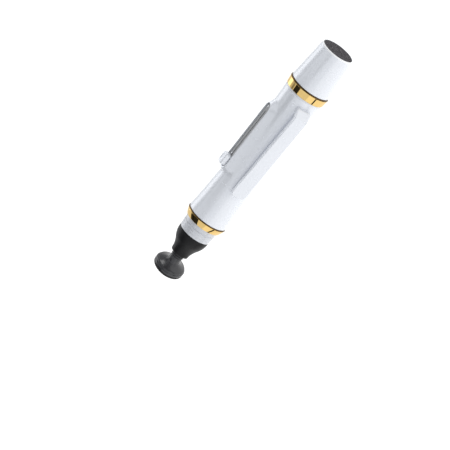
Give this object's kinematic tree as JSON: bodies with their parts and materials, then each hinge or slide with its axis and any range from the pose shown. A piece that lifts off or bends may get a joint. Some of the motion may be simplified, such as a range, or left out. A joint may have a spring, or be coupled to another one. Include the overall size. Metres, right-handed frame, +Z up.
{
  "type": "lens cleaning pen",
  "caption": "Pen-shaped lens cleaner with a thumb-slide brush at one end, a pad head on a flexible neck at the other, gold trim rings and a pocket clip.",
  "frame": {"origin": "middle of the footprint, on the surface that the pen lies on", "axes": "+X along the pen from the cleaning head towards the brush mouth, +Z up through the thumb knob, -Y towards the pocket clip"},
  "size_m": [0.1068, 0.0198, 0.019],
  "materials": {
    "white_shell": "glossy cool white plastic",
    "gold_trim": "polished gold colour",
    "black_skirt": "satin black plastic",
    "neck_rubber": "smooth black rubber",
    "track_grey": "fine matt grey plastic",
    "inner_grey": "plain moulded plastic",
    "bristle": "soft dark hair",
    "suede": "fine black suede",
    "foam": "soft foam",
    "spring_steel": "bright spring steel",
    "ferrule_metal": "bright rolled metal"
  },
  "bodies": {
    "pen_body": {"barrel": "white_shell", "brush_cone": "white_shell", "upper_trim_ring": "gold_trim", "lower_trim_ring": "gold_trim", "slider_track": "track_grey", "clip_anchor": "white_shell", "neck_collar": "white_shell", "tip_funnel": "black_skirt", "stem_root": "neck_rubber", "stem_retainer": "inner_grey"},
    "brush_slider": {"thumb_knob": "white_shell", "brush_carriage": "inner_grey", "detent_spring": "spring_steel", "brush_ferrule": "ferrule_metal", "bristle_tuft": "bristle"},
    "clip": {"clip_arm": "white_shell"},
    "stem": {"flex_stem": "neck_rubber"},
    "head": {"head_cup": "black_skirt", "pad_cushion": "foam", "cleaning_pad": "suede"}
  },
  "joints": [
    {"name": "brush_slide", "type": "slide", "parent": "pen_body", "child": "brush_slider", "axis": [1, 0, 0], "range_m": [0, 0.022]},
    {"name": "clip_flex", "type": "hinge", "parent": "pen_body", "child": "clip", "pos_m": [0.02626, -0.009, 0.0083], "axis": [0, 0, 1], "range_deg": [0, 4.5], "stiffness_Nm_per_rad": 1.5},
    {"name": "stem_flex", "type": "hinge", "parent": "pen_body", "child": "stem", "pos_m": [-0.04359, 0.00165, 0.0083], "axis": [0, -0.891, 0.454], "range_deg": [-20, 20], "stiffness_Nm_per_rad": 0.03},
    {"name": "head_flex", "type": "hinge", "parent": "stem", "child": "head", "pos_m": [-0.04769, 0.00165, 0.0083], "axis": [0, -0.454, -0.891], "range_deg": [-36, 4], "stiffness_Nm_per_rad": 0.03, "springref_deg": -16}
  ]
}
